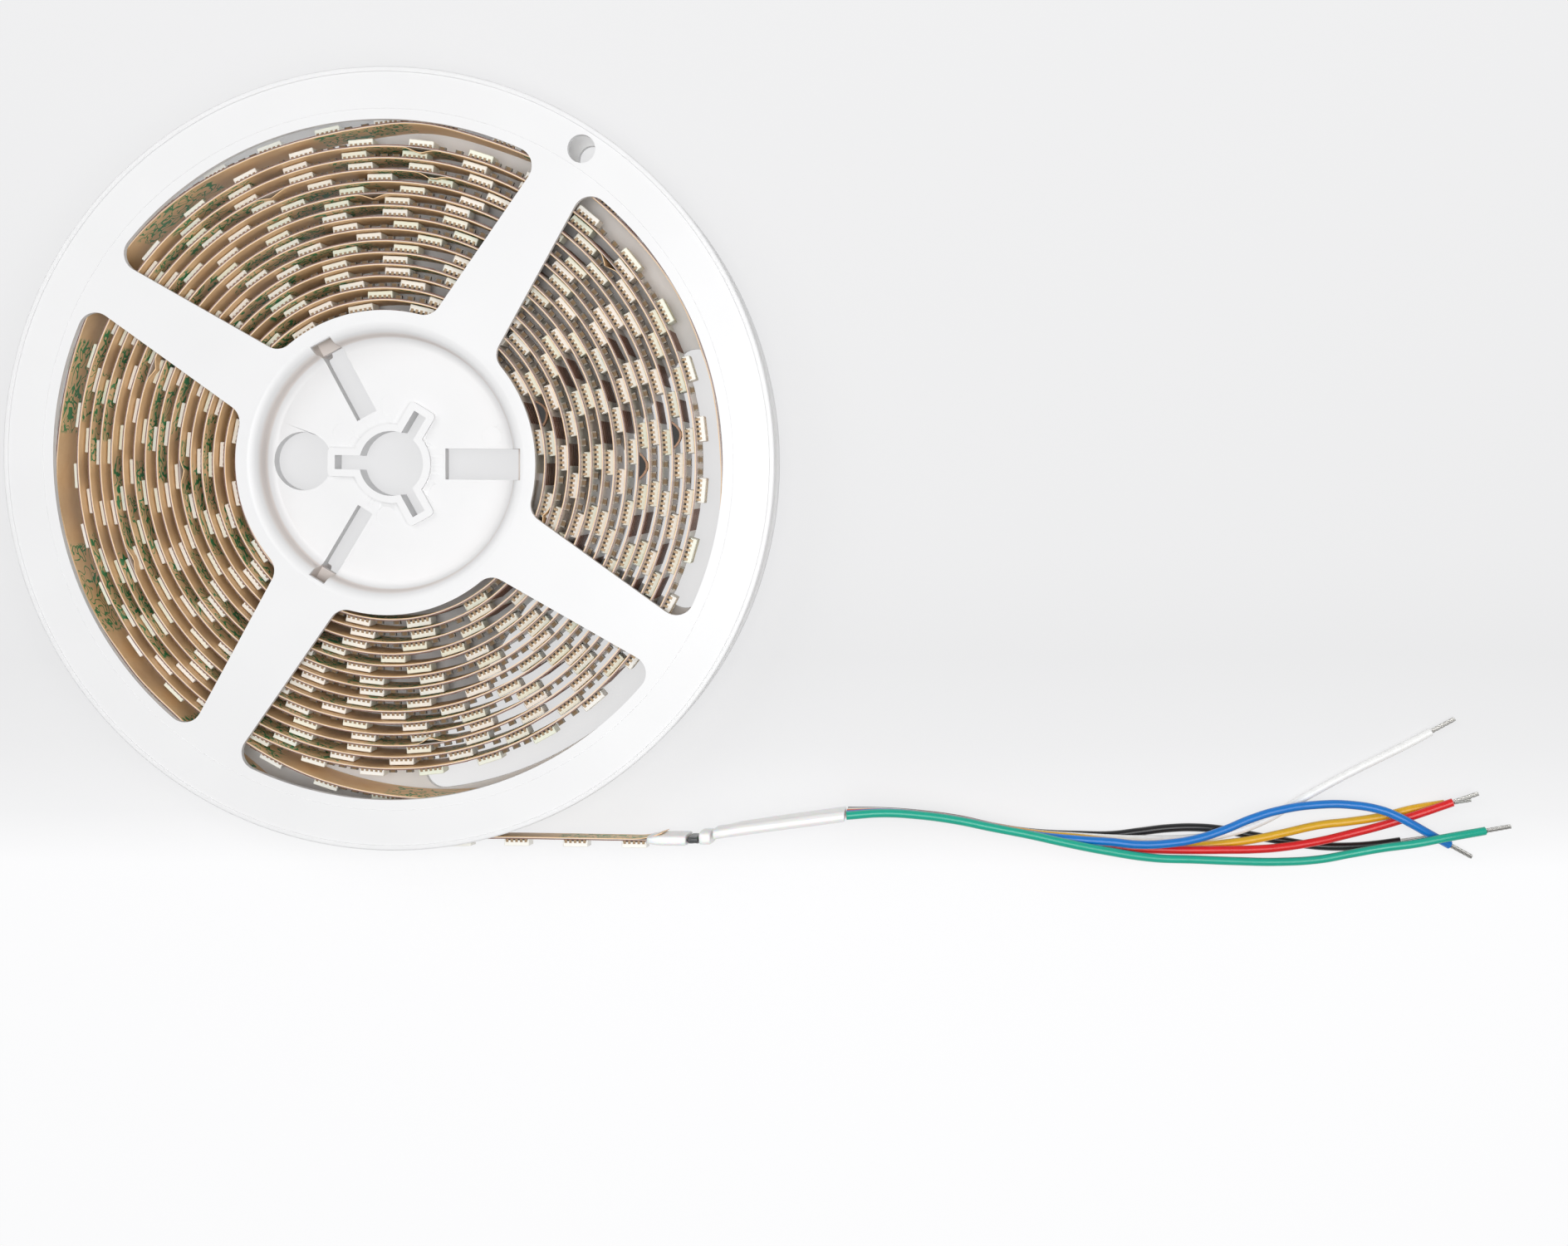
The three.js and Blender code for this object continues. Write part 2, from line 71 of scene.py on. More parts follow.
# The six wires. Stranded copper of 1.7 mm over its glossy PVC insulation, pushed into the sleeve one above
# the other. Each springs out of the sleeve, comes down towards the table and ends bare.
class Field:
    """A socket of a material. Sums on it add Math nodes, and node() adds any other node."""

    def __init__(self, tree, socket=None):
        self.tree = tree
        self.socket = socket

    def node(self, kind, sockets=None, output=0, stops=None, **settings):
        made = self.tree.nodes.new(kind)
        for name, value in settings.items():
            setattr(made, name, value)
        if stops:
            ramp = made.color_ramp.elements
            while len(ramp) < len(stops):
                ramp.new(1)
            for element, (place, colour) in zip(ramp, stops):
                element.position = place
                element.color = (*colour, 1)
        for key, value in (sockets or {}).items():
            if isinstance(value, Field):
                self.tree.links.new(value.socket, made.inputs[key])
            else:
                made.inputs[key].default_value = value
        return Field(self.tree, made.outputs[output])

    def math(self, operation, *values):
        return self.node("ShaderNodeMath", dict(enumerate(values)), operation=operation)

    def __add__(self, other):
        return self.math("ADD", self, other)

    __radd__ = __add__

    def __sub__(self, other):
        return self.math("SUBTRACT", self, other)

    def __rsub__(self, other):
        return self.math("SUBTRACT", other, self)

    def __mul__(self, other):
        return self.math("MULTIPLY", self, other)

    __rmul__ = __mul__

    def __truediv__(self, other):
        return self.math("DIVIDE", self, other)

    def __pow__(self, other):
        return self.math("POWER", self, other)

    def above(self, edge, blur):
        """0 below the edge and 1 above it, with a soft step of the blur's width"""
        return self.node(
            "ShaderNodeMapRange",
            {"Value": self, "From Min": edge - blur / 2, "From Max": edge + blur / 2},
            interpolation_type="SMOOTHSTEP",
        )

    def mix(self, first, second):
        """The first colour where this is 0, the second where it is 1"""
        colours = {0: self}
        for key, value in ((6, first), (7, second)):
            colours[key] = value if isinstance(value, Field) else (*value, 1)
        return self.node("ShaderNodeMix", colours, output=2, data_type="RGBA", clamp_factor=True)

    def noise(self, scale, detail=3, roughness=0.5, distortion=0):
        """Noise on this vector, with features of about 1 / scale millimetres"""
        return self.node("ShaderNodeTexNoise", {
            "Vector": self, "Scale": scale, "Detail": detail,
            "Roughness": roughness, "Distortion": distortion,
        })


class Finish:
    """A material with its Principled shader, the piece's own coordinates in mm and its UV map"""

    def __init__(self, name, **sockets):
        self.material = bpy.data.materials.new(name)
        self.material.use_nodes = True
        tree = self.material.node_tree
        self.shader = tree.nodes["Principled BSDF"]
        self.start = Field(tree)
        place = self.start.node("ShaderNodeTexCoord", output="Object")
        self.place = self.start.node(
            "ShaderNodeVectorMath", {0: place, "Scale": 1 / mm}, operation="SCALE")
        for name, value in sockets.items():
            self.set(name.replace("_", " ").title().replace("Ior", "IOR"), value)

    def set(self, name, value):
        if isinstance(value, Field):
            self.start.tree.links.new(value.socket, self.shader.inputs[name])
        else:
            self.shader.inputs[name].default_value = value

    def axis(self, letter):
        return self.start.node("ShaderNodeSeparateXYZ", {0: self.place}, output="XYZ".index(letter))

    def uv(self, layer):
        return self.start.node("ShaderNodeUVMap", uv_map=layer)

    def attribute(self, name):
        return self.start.node("ShaderNodeAttribute", output="Fac", attribute_name=name)

    def bump(self, height, distance, strength=1.0):
        """Height from 0 to 1 raises the surface by the distance in millimetres"""
        self.set("Normal", self.start.node(
            "ShaderNodeBump", {"Height": height, "Distance": distance * mm, "Strength": strength}))


def finish_piece(name, mesh, finishes, nodes):
    """Makes a mesh or curve an object that rides on the reel in place of its CAD nodes"""
    made = bpy.data.objects.new(name, mesh)
    for finish in finishes:
        mesh.materials.append(finish.material)
    scene.collection.objects.link(made)
    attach(made, "root")
    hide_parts(*nodes)
    return made


wire_diameter = 1.7
tinned_gap = 0.3
tinned_length = 5
strand_count = 7
strand_diameter = 0.34
strand_turns = 0.8
strand_steps = 10
strand_spread = 0.9
wire_colours = {
    "black": (0.006, 0.006, 0.007),
    "white": (0.88, 0.88, 0.87),
    "yellow": (0.72, 0.40, 0.012),
    "red": (0.68, 0.006, 0.008),
    "blue": (0.002, 0.17, 0.56),
    "green": (0.004, 0.38, 0.26),
}
wire_routes = {
    "black": [
        (91, -71.3, 3.1), (98.6, -71.5, 2.4), (106, -72.2, 1.5), (113.5, -73.3, 0.9), (120.9, -74.9, 0.9),
        (128.2, -76, 0.9), (138.8, -76.5, 0.9), (144.5, -76.5, 0.9), (150.1, -75.8, 0.9),
        (155.7, -75.1, 0.9), (161.5, -74.9, 0.9), (167.1, -75.4, 0.9), (172.7, -76.5, 0.9),
        (178.4, -77.5, 0.9), (186, -78.6, 0.9), (192.3, -78.7, 0.9), (197.4, -78.3, 0.9), (202.2, -77.6, 0.9),
    ],
    "white": [
        (91, -71.2, 5.1), (98.5, -71.3, 4.4), (105.9, -72, 3.5), (113.4, -73.1, 3), (120.7, -74.6, 2.9),
        (128.1, -75.8, 2.9), (138.6, -76.6, 2.9), (149.9, -77.1, 2.5), (161.3, -76.8, 2.4),
        (168.5, -75.5, 2.8), (175.4, -73, 2), (179.5, -70.7, 1.5), (185.9, -67.1, 1), (192.1, -63.7, 0.9),
        (198.4, -60.5, 0.9), (204.6, -57.3, 0.9), (208, -55.4, 0.9),
    ],
    "yellow": [
        (91, -71.1, 7.1), (98.5, -71.1, 6.4), (105.8, -71.7, 5.5), (113.3, -72.8, 5), (120.6, -74.3, 4.9),
        (127.9, -75.5, 4.9), (138.2, -76.5, 4.9), (144, -77.2, 4.8), (149.6, -77.9, 4.4),
        (155.3, -78.3, 4), (162.4, -78.1, 3.8), (166.7, -77.7, 3.7), (172.3, -77, 3.2), (178, -75.9, 2.5),
        (185.8, -74.3, 1.5), (192.2, -73.6, 1), (198.5, -72.6, 0.9), (204.8, -71, 0.9), (210.8, -70, 0.9),
    ],
    "red": [
        (91, -70.9, 9.1), (98.4, -70.8, 8.4), (105.7, -71.4, 7.5), (113.2, -72.5, 7), (120.4, -74, 6.9),
        (127.7, -75.4, 6.9), (138.2, -77.1, 6.8), (145.1, -78.1, 6.6), (155, -78.6, 6), (160.8, -78.7, 5.7),
        (166.4, -78.7, 5.3), (172.1, -78.7, 4.7), (177.8, -78.4, 4), (185.6, -77.3, 3), (192, -75.9, 2.2),
        (198.3, -74.2, 2.2), (204.4, -72.1, 2.8), (212, -69.4, 2.8),
    ],
    "blue": [
        (91, -70.8, 11.1), (98.4, -70.5, 10.4), (105.6, -71.1, 9.6), (113, -72.2, 9), (120.3, -73.7, 8.9),
        (127.5, -75.1, 8.9), (138, -76.2, 8.8), (143.6, -76.6, 8.5), (149.1, -77.2, 8.1),
        (154.8, -77.1, 7.5), (160.6, -76.3, 6.7), (166.3, -74.6, 5.9), (171.9, -72.4, 5.1),
        (177.6, -70.8, 4.4), (185.4, -69.8, 3.6), (191.7, -69.8, 3.7), (197.8, -70.8, 4.4),
        (200.8, -72, 4.8), (204, -73.7, 4.7), (207.1, -75.5, 4.2), (211.4, -77.9, 3.3),
    ],
    "green": [
        (91, -70.7, 13.1), (98.3, -70.3, 12.4), (105.5, -70.8, 11.7), (112.9, -71.9, 11.1),
        (120.1, -73.4, 10.9), (127.3, -74.8, 10.9), (134.7, -76.5, 10.6), (142.1, -78.1, 9.8),
        (152, -79.8, 8.5), (160.5, -80.3, 7.4), (169, -80.8, 6.3), (177.6, -81.1, 5.2), (185.4, -80.7, 4.6),
        (191.7, -79.5, 4.7), (197.8, -78.2, 5.5), (203.8, -77.2, 6.3), (209.9, -76, 6.2),
        (217.9, -74.8, 4.9),
    ],
}


def curve_through(name, lines, diameter, smooth):
    """A round bar along each line of points in mm, as one curve object's data"""
    curve = bpy.data.curves.new(name, "CURVE")
    curve.dimensions = "3D"
    curve.bevel_depth = diameter / 2 * mm
    curve.bevel_resolution = 4 if smooth else 1
    curve.resolution_u = 10 if smooth else 1
    curve.use_fill_caps = True
    for line in lines:
        spline = curve.splines.new("BEZIER")
        spline.bezier_points.add(len(line) - 1)
        for knot, point in zip(spline.bezier_points, line):
            knot.co = Vector(point) * mm
            knot.handle_left_type = knot.handle_right_type = "AUTO" if smooth else "VECTOR"
    return curve


def insulation_finish(colour):
    finish = Finish(f"insulation_{colour}", roughness=0.32, coat_weight=0.25, coat_roughness=0.2)
    mottle = finish.place.noise(0.6, detail=4)
    base = Vector(wire_colours[colour])
    finish.set("Base Color", mottle.mix(tuple(base * 0.88), tuple(base * 1.08)))
    finish.bump(finish.place.noise(1.2, detail=2), 0.03, 0.4)
    return finish


tinned = Finish("tinned_core", metallic=1.0, roughness=0.34)
tinned.set("Base Color", tinned.place.noise(2.5).mix((0.42, 0.41, 0.39), (0.72, 0.71, 0.68)))


def strand_lines(end, along):
    """Strands laid round a middle one, straight on from the insulation's end"""
    side = along.orthogonal().normalized()
    start = end + along * tinned_gap
    lines = [[start, start + along * tinned_length]]
    for i in range(strand_count - 1):
        line = []
        for step in range(strand_steps + 1):
            share = step / strand_steps
            angle = 2 * math.pi * (i / (strand_count - 1) + strand_turns * share)
            off = side * math.cos(angle) + along.cross(side) * math.sin(angle)
            line.append(start + along * tinned_length * share + off * strand_diameter * strand_spread)
        lines.append(line)
    return lines


for colour, points in wire_routes.items():
    end = Vector(points[-1])
    along = (end - Vector(points[-2])).normalized()
    core = curve_through(f"{colour}_strands", strand_lines(end, along), strand_diameter, False)
    strands = finish_piece(f"{colour}_strands", core, [tinned], [f"{colour}_wire_end"])
    tube = curve_through(f"{colour}_insulation", [points], wire_diameter, True)
    wire = finish_piece(
        f"{colour}_insulation", tube, [insulation_finish(colour)],
        [f"{colour}_wire"])


# Floor and light. A white table under three soft lamps, from the right, the front and the upper left,
# in an even pale room. The table's colour holds painted shade, lightest in front of the strip's tail and
# darker across the reel. The table shows bright to the camera, and keeps part of the object's shadow.
floor_half = 1.5
floor_glow = 0.8
table_shade_start = -90
table_shade_length = 200
table_shade_tones = ((0.035, 0.97), (0.09, 0.89), (0.16, 0.84), (0.25, 0.81), (0.35, 0.83), (1, 0.86))
backdrop_tint = (1, 1, 1.008)
floor_mesh = bpy.data.meshes.new("floor")
bm = bmesh.new()
bmesh.ops.create_grid(bm, x_segments=1, y_segments=1, size=floor_half)
bm.to_mesh(floor_mesh)
bm.free()
floor = bpy.data.objects.new("floor", floor_mesh)
scene.collection.objects.link(floor)
floor_finish = Finish("floor", roughness=0.6)
floor_mesh.materials.append(floor_finish.material)
start = floor_finish.start
# Painted shade on the table: the ramp darkens its colour from the strip's tail back across the reel, and the
# glow to the camera carries the same shade.
depth = (floor_finish.axis("Y") - table_shade_start) / table_shade_length
stops = [(place, [tone * part for part in backdrop_tint]) for place, tone in table_shade_tones]
shaded_table_colour = depth.node("ShaderNodeValToRGB", {0: depth}, stops=stops)
floor_finish.set("Base Color", shaded_table_colour)
rays = start.node("ShaderNodeLightPath", output="Is Camera Ray")
for kind in ("Is Glossy Ray", "Is Transmission Ray"):
    rays = rays.math("MAXIMUM", rays, start.node("ShaderNodeLightPath", output=kind))
glow = start.node("ShaderNodeEmission", {"Color": shaded_table_colour})
shaded = Field(start.tree, floor_finish.shader.outputs[0])
shown = start.node("ShaderNodeMixShader", {0: rays * floor_glow, 1: shaded, 2: glow})
start.tree.links.new(shown.socket, start.tree.nodes["Material Output"].inputs["Surface"])

world = bpy.data.worlds.new("room")
world.use_nodes = True
scene.world = world
room = world.node_tree.nodes["Background"]
room.inputs["Color"].default_value = (1, 1, 1, 1)
room.inputs["Strength"].default_value = 0.35


def softbox(name, place, size, power):
    """A square lamp that looks at the reel's middle"""
    light = bpy.data.lights.new(name, "AREA")
    light.shape = "SQUARE"
    light.size = size
    light.energy = power
    lamp = bpy.data.objects.new(name, light)
    lamp_turn = Vector(place).to_track_quat("Z", "Y").to_matrix().to_4x4()
    lamp.matrix_world = Matrix.Translation(place) @ lamp_turn
    scene.collection.objects.link(lamp)


softbox("key", (0.28, -0.05, 0.6), 0.4, 1.6)
softbox("front", (0.05, -0.01, 0.6), 0.16, 1.05)
softbox("fill", (-0.5, 0.4, 0.7), 0.6, 2.4)


# The reel's two halves. Each is one moulding of white polypropylene, translucent where it is thin: a flange
# with a bead round its rim, half of the hollow drum, and a web with the spindle hole. They clip together.
reel_radius = 77.5
reel_width = 16.2
flange_thickness = 1.5
bead_width = 1.1
bead_rise = 0.3
face_height = reel_width - bead_rise
rim_ring_radius = 69.4
rim_ring_rise = 0.08
drum_radius = 28.3
recess_radius = 25.5
recess_foot = 1.9
lip = 1.6
web_start = 4
web_face = 9.7
web_back = 8.1
wall_end = 8.25
spindle_radius = 6.5
collar_wall = 1.45
collar_top = 10.7
collar_corner = 0.9
keyway_width = 2.8
keyway_reach = 11.5
keyway_angles = (58, 178, 298)
drive_slots = ((359, 6.2), (117.5, 4.5), (238, 3.5))
slot_start = 10.8
port_low = 8.9
port_high = 14.4
grip_hole_radius = 5.9
grip_hole_place = (-18.2, 0.64)
grip_hole_flat = -13
rim_hole_radius = 2.75
rim_hole_place = (72.9, 56.5)
window_outer = 67.3
window_inner = 30.15
window_corner = 3.6
spoke_root = 14.3
spoke_tip = 10.3
spoke_angles = (57, 147, 237, 327)
back_spoke_width = 12
back_band = 37
back_spokes = (327, 147)
ejector_marks = ((-10, 6.2), (9.2, -6.1), (-0.2, 11.8), (-1.5, -10.6), (9, 5.4), (20.2, 5.2))
ejector_radius = 2
ejector_depth = 0.07
edge_round = 0.22
lathe_steps = 224
cutter_top = 20
window_cut = 13


def around(radius, start, end, steps, centre=(0, 0)):
    """Points on an arc, with its angles in degrees"""
    angles = [math.radians(start + (end - start) * i / steps) for i in range(steps + 1)]
    return [(centre[0] + radius * math.cos(a), centre[1] + radius * math.sin(a)) for a in angles]


def circle(radius, count, centre):
    return around(radius, 0, 360 * (count - 1) / count, count - 1, centre)


def turned(points, angle):
    spin = Matrix.Rotation(math.radians(angle), 2)
    return [tuple(spin @ Vector(p)) for p in points]


def prism(bm, outline, low, high):
    """A closed prism on an outline of x, y points"""
    base = bm.faces.new([bm.verts.new((x, y, low)) for x, y in outline])
    top = bmesh.ops.extrude_face_region(bm, geom=[base], use_keep_orig=True)
    lifted = [v for v in top["geom"] if isinstance(v, bmesh.types.BMVert)]
    bmesh.ops.translate(bm, vec=(0, 0, high - low), verts=lifted)


def keyed_outline(radius, width, reach):
    """A round hole or boss with a straight key at each keyway angle"""
    half = math.degrees(math.asin(width / 2 / radius))
    outline = []
    for angle in keyway_angles:
        outline += turned([(reach, -width / 2), (reach, width / 2)], angle)
        outline += around(radius, angle + half, angle + 120 - half, 14)
    return outline


def quarter_window(angle):
    """The opening between two spokes that taper outwards, with its first spoke along the angle"""
    taper = math.atan2((spoke_root - spoke_tip) / 2, window_outer - window_inner)
    off = spoke_root / 2 * math.cos(taper) + window_inner * math.sin(taper) + window_corner
    outer = math.sqrt((window_outer - window_corner) ** 2 - off ** 2)
    inner = math.sqrt((window_inner + window_corner) ** 2 - off ** 2)
    lean = math.degrees(taper)
    far, near = turned([(outer, off), (inner, off)], -lean)
    outer_turn = math.degrees(math.atan2(far[1], far[0]))
    inner_turn = math.degrees(math.atan2(near[1], near[0]))
    outline = around(window_corner, -90 - lean, outer_turn, 10, far)
    outline += around(window_outer, outer_turn, 90 - outer_turn, 48)[1:-1]
    outline += around(window_corner, 90 - outer_turn, 180 + lean, 10, far[::-1])
    outline += around(window_corner, 180 + lean, 270 - inner_turn, 10, near[::-1])
    outline += around(window_inner, 90 - inner_turn, inner_turn, 24)[1:-1]
    outline += around(window_corner, 180 + inner_turn, 270 - lean, 10, near)
    return turned(outline, angle)


def segment_window(angle, side):
    """The opening outside the back flange's solid band, on one side of its spoke"""
    off = back_spoke_width / 2 + window_corner
    reach = window_outer - window_corner
    band = back_band + window_corner
    outer = math.sqrt(reach ** 2 - off ** 2)
    end = math.sqrt(reach ** 2 - band ** 2)
    outer_turn = math.degrees(math.atan2(off, outer))
    end_turn = math.degrees(math.atan2(end, band))
    outline = around(window_corner, -90, outer_turn, 10, (outer, off))
    outline += around(window_outer, outer_turn, end_turn, 30)[1:-1]
    outline += around(window_corner, end_turn, 180, 10, (band, end))
    outline += around(window_corner, 180, 270, 8, (band, off))
    return turned([(x, y * side) for x, y in outline], angle)


def shaped(name, build):
    """An object whose mesh in mm is made by a function"""
    bm = bmesh.new()
    build(bm)
    bmesh.ops.recalc_face_normals(bm, faces=bm.faces[:])
    mesh = bpy.data.meshes.new(name)
    bm.to_mesh(mesh)
    bm.free()
    made = bpy.data.objects.new(name, mesh)
    scene.collection.objects.link(made)
    return made


def finished_mesh(name, bm):
    """A bmesh in mm as a mesh in metres, with its faces pointing out"""
    bmesh.ops.recalc_face_normals(bm, faces=bm.faces[:])
    bmesh.ops.scale(bm, vec=(mm, mm, mm), verts=bm.verts[:])
    mesh = bpy.data.meshes.new(name)
    bm.to_mesh(mesh)
    bm.free()
    return mesh


def combine(target, tool, operation):
    """Joins the tool's solids to the target, or cuts them out of it"""
    modifier = target.modifiers.new(operation, "BOOLEAN")
    modifier.operation = operation
    modifier.solver = "EXACT"
    modifier.object = tool
    target_mesh = bpy.data.meshes.new_from_object(
        target.evaluated_get(bpy.context.evaluated_depsgraph_get()))
    target.modifiers.clear()
    target.data = target_mesh
    bpy.data.objects.remove(tool)


def turned_body(bm):
    """The moulding's section, spun round the axis. The third number rounds a corner"""
    section = (
        (web_start, web_face, 0), (recess_radius, web_face, recess_foot),
        (recess_radius, face_height - lip, 1.2), (recess_radius + lip, face_height, 0.9),
        (rim_ring_radius - rim_ring_rise, face_height, 0), (rim_ring_radius, face_height + rim_ring_rise, 0),
        (reel_radius - bead_width, face_height + rim_ring_rise, 0),
        (reel_radius - bead_width + 0.1, reel_width, 0.1), (reel_radius, reel_width, 0.4),
        (reel_radius, face_height - flange_thickness, 0.4),
        (drum_radius, face_height - flange_thickness, 0.4), (drum_radius, wall_end, 0.2),
        (recess_radius, wall_end, 0), (recess_radius, web_back, 0), (web_start, web_back, 0),
    )
    corners = [bm.verts.new((r, 0, z)) for r, z, round_by in section]
    bm.faces.new(corners)
    for corner, (r, z, round_by) in zip(corners, section):
        if round_by:
            bmesh.ops.bevel(bm, geom=[corner], offset=round_by, segments=4, profile=0.5, material=-1,
                            affect="VERTICES", offset_type="OFFSET")
    bmesh.ops.delete(bm, geom=bm.faces[:], context="FACES_ONLY")
    bmesh.ops.spin(bm, geom=bm.verts[:] + bm.edges[:], axis=(0, 0, 1), cent=(0, 0, 0),
                   angle=2 * math.pi, steps=lathe_steps, use_merge=True, use_duplicate=False)
    bmesh.ops.remove_doubles(bm, verts=bm.verts[:], dist=1e-4)


def collar(bm):
    prism(bm, keyed_outline(spindle_radius + collar_wall, keyway_width + 2 * collar_wall,
                            keyway_reach + collar_wall), web_face - 0.5, collar_top)
    ends = [e for e in bm.edges if abs(e.verts[0].co.z - e.verts[1].co.z) > 1
            and Vector(e.verts[0].co.xy).length > keyway_reach]
    bmesh.ops.bevel(
        bm, geom=ends, offset=collar_corner, segments=4, profile=0.5, material=-1, affect="EDGES")


def openings(windows):
    """The cutters for the holes in the web, the ports in the drum's wall, and the windows"""
    def build(bm):
        prism(bm, keyed_outline(spindle_radius, keyway_width, keyway_reach), 0, cutter_top)
        flat_turn = math.degrees(math.acos((grip_hole_flat - grip_hole_place[0]) / grip_hole_radius))
        prism(bm, around(grip_hole_radius, flat_turn, 360 - flat_turn, 40, grip_hole_place), 0, cutter_top)
        for angle, width in drive_slots:
            first = len(bm.verts)
            side = [(slot_start, 0), (recess_radius - 0.02, 0), (recess_radius - 0.02, port_low),
                    (drum_radius + 1, port_low), (drum_radius + 1, port_high),
                    (recess_radius + lip, port_high), (recess_radius + lip, cutter_top),
                    (slot_start, cutter_top)]
            prism(bm, side, -width / 2, width / 2)
            bm.verts.ensure_lookup_table()
            bmesh.ops.rotate(bm, cent=(0, 0, 0), matrix=Matrix.Rotation(math.pi / 2, 3, "X"),
                             verts=bm.verts[first:])
            bmesh.ops.rotate(bm, cent=(0, 0, 0), matrix=Matrix.Rotation(math.radians(angle), 3, "Z"),
                             verts=bm.verts[first:])
        for x, y in ejector_marks:
            prism(bm, circle(ejector_radius, 24, (x, y)), web_face - ejector_depth, web_face + 0.5)
        radius, angle = rim_hole_place
        centre = turned([(radius, 0)], angle)[0]
        prism(bm, circle(rim_hole_radius, 32, centre), window_cut, cutter_top)
        for outline in windows:
            prism(bm, outline, window_cut, cutter_top)
    return build


white_plastic = Finish("reel_plastic", roughness=0.38, ior=1.49, alpha=0.94)
cloud = white_plastic.place.noise(0.055, detail=2)
across_reel = white_plastic.axis("X")
up_reel = white_plastic.axis("Y")
from_axis = (across_reel * across_reel + up_reel * up_reel) ** 0.5
# Painted shade: the drum's inner wall in the recess is painted darker and brownish, as the wall's shade with
# the brown strip showing through it.
wall = from_axis.above(recess_radius - 0.3, 0.4) * (1 - from_axis.above(drum_radius + 0.2, 0.4))
wall *= 1 - white_plastic.axis("Z").above(face_height - lip, 1.5)
shell = cloud.mix((0.82, 0.82, 0.825), (0.865, 0.865, 0.87))
white_plastic.set("Base Color", (wall * 0.4).mix(shell, (0.66, 0.50, 0.40)))
white_plastic.bump(white_plastic.place.noise(0.9, detail=4), 0.02, 0.35)


def reel_half(name, windows, facing):
    half = shaped(name, turned_body)
    combine(half, shaped("collar", collar), "UNION")
    combine(half, shaped("cutters", openings(windows)), "DIFFERENCE")
    bm = bmesh.new()
    bm.from_mesh(half.data)
    bpy.data.objects.remove(half)
    bmesh.ops.remove_doubles(bm, verts=bm.verts[:], dist=1e-4)
    if facing < 0:
        bmesh.ops.scale(bm, vec=(1, 1, -1), verts=bm.verts[:])
        bmesh.ops.translate(bm, vec=(0, 0, reel_width), verts=bm.verts[:])
    mesh = finished_mesh(f"{name}_moulding", bm)
    mesh.shade_smooth()
    made = finish_piece(f"{name}_moulding", mesh, [white_plastic], [name])
    edges = made.modifiers.new("edges", "BEVEL")
    edges.width = edge_round * mm
    edges.segments = 2
    edges.limit_method = "ANGLE"
    edges.angle_limit = math.radians(40)
    edges.harden_normals = False
    flat = made.modifiers.new("flat", "WEIGHTED_NORMAL")
    flat.keep_sharp = False
    flat.weight = 100


reel_half("front_half", [quarter_window(angle) for angle in spoke_angles], 1)
reel_half("back_half", [segment_window(angle, side) for angle in back_spokes for side in (1, -1)], -1)


# The strip's route through the reel: turns wound outwards at one pitch, then a loose last turn that drops to
# the table. A piece of strip is made flat, with x along it, y outwards and z across, and then wound.
turn_pitch = 2.31
first_radius = 29.28
last_tight_radius = 63.2
tight_turn_end = 242
tight_turns = (last_tight_radius - first_radius) / turn_pitch
first_angle = tight_turn_end - tight_turns * 360
tail_y = -75.35
strip_end_x = 54.2
loose_turn = [
    (-15.9, -62.9), (-0.6, -66.5), (14.5, -66.8), (30.6, -63.9), (50, -49.3), (61.1, -29.9), (66.1, -12),
    (66.5, 2.8), (64, 18.7), (56, 36.5), (39.8, 53.3), (23.5, 62.1), (2.3, 66.5), (-34.8, 56.4),
    (-57.1, 35.3), (-67.1, 1.7), (-63.1, -23.3), (-53.3, -40.5), (-42.5, -51.8), (-31.9, -61.8),
    (-21.6, -69.8), (-10.4, -73.8), (4, -75), (20.7, -74.9), (37.4, -75.1), (strip_end_x, tail_y),
]
tail_drop = 1.2
tail_start = (-16, 10)
tail_length = 90
turn_samples = 120
span_samples = 8
strip_low = 2.1
strip_width = 12
strip_middle = strip_low + strip_width / 2


def strip_route():
    """Points on the liner's inner face, from the drum to the strip's end"""
    count = int(tight_turns * turn_samples)
    route = []
    for i in range(count + 1):
        share = i / turn_samples
        angle = math.radians(first_angle + share * 360)
        radius = first_radius + turn_pitch * share
        route.append(Vector((radius * math.cos(angle), radius * math.sin(angle))))
    knots = [route[-8], route[-1]] + [Vector(p) for p in loose_turn]
    knots.append(knots[-1] * 2 - knots[-2])
    for before, here, there, after in zip(knots, knots[1:], knots[2:], knots[3:]):
        gap = (there - here).length
        leave = (there - before).normalized() * gap / 3
        arrive = (after - here).normalized() * gap / 3
        for i in range(1, span_samples + 1):
            t = i / span_samples
            u = 1 - t
            route.append(here * u ** 3 + (here + leave) * 3 * u * u * t
                         + (there - arrive) * 3 * u * t * t + there * t ** 3)
    return route


route = strip_route()
stations = [0.0]
for here, there in zip(route, route[1:]):
    stations.append(stations[-1] + (there - here).length)
strip_length = stations[-1]


def on_route(station):
    """The liner's point at a distance along the strip, and the direction there"""
    i = min(max(bisect.bisect_right(stations, station) - 1, 0), len(route) - 2)
    share = (station - stations[i]) / (stations[i + 1] - stations[i])
    before = route[max(i - 1, 0)]
    after = route[min(i + 2, len(route) - 1)]
    start_way = (route[i + 1] - before).normalized()
    end_way = (after - route[i]).normalized()
    return route[i].lerp(route[i + 1], share), start_way.lerp(end_way, share).normalized()


def twist(station, place):
    """How much the tail leans: its back edge lies lower than its front edge"""
    if station < strip_length - tail_length:
        return 0
    share = (place.x - tail_start[0]) / (tail_start[1] - tail_start[0])
    return min(max(share, 0), 1) * tail_drop / strip_width


def wind(point):
    """Where a point of the flat strip lies on the wound one"""
    place, way = on_route(point.x)
    out = point.y + twist(point.x, place) * (strip_low + strip_width - point.z)
    return Vector((place.x + way.y * out, place.y - way.x * out, point.z))


def set_down(station, height):
    """The matrix that puts a stiff part on the strip, with x along, y outwards and z across"""
    place, way = on_route(station)
    lean = twist(station, place)
    out = height + lean * strip_width / 2
    return Matrix((
        (way.x, way.y, -way.y * lean, place.x + way.y * out),
        (way.y, -way.x, way.x * lean, place.y - way.x * out),
        (0, 0, 1, strip_middle), (0, 0, 0, 1)))


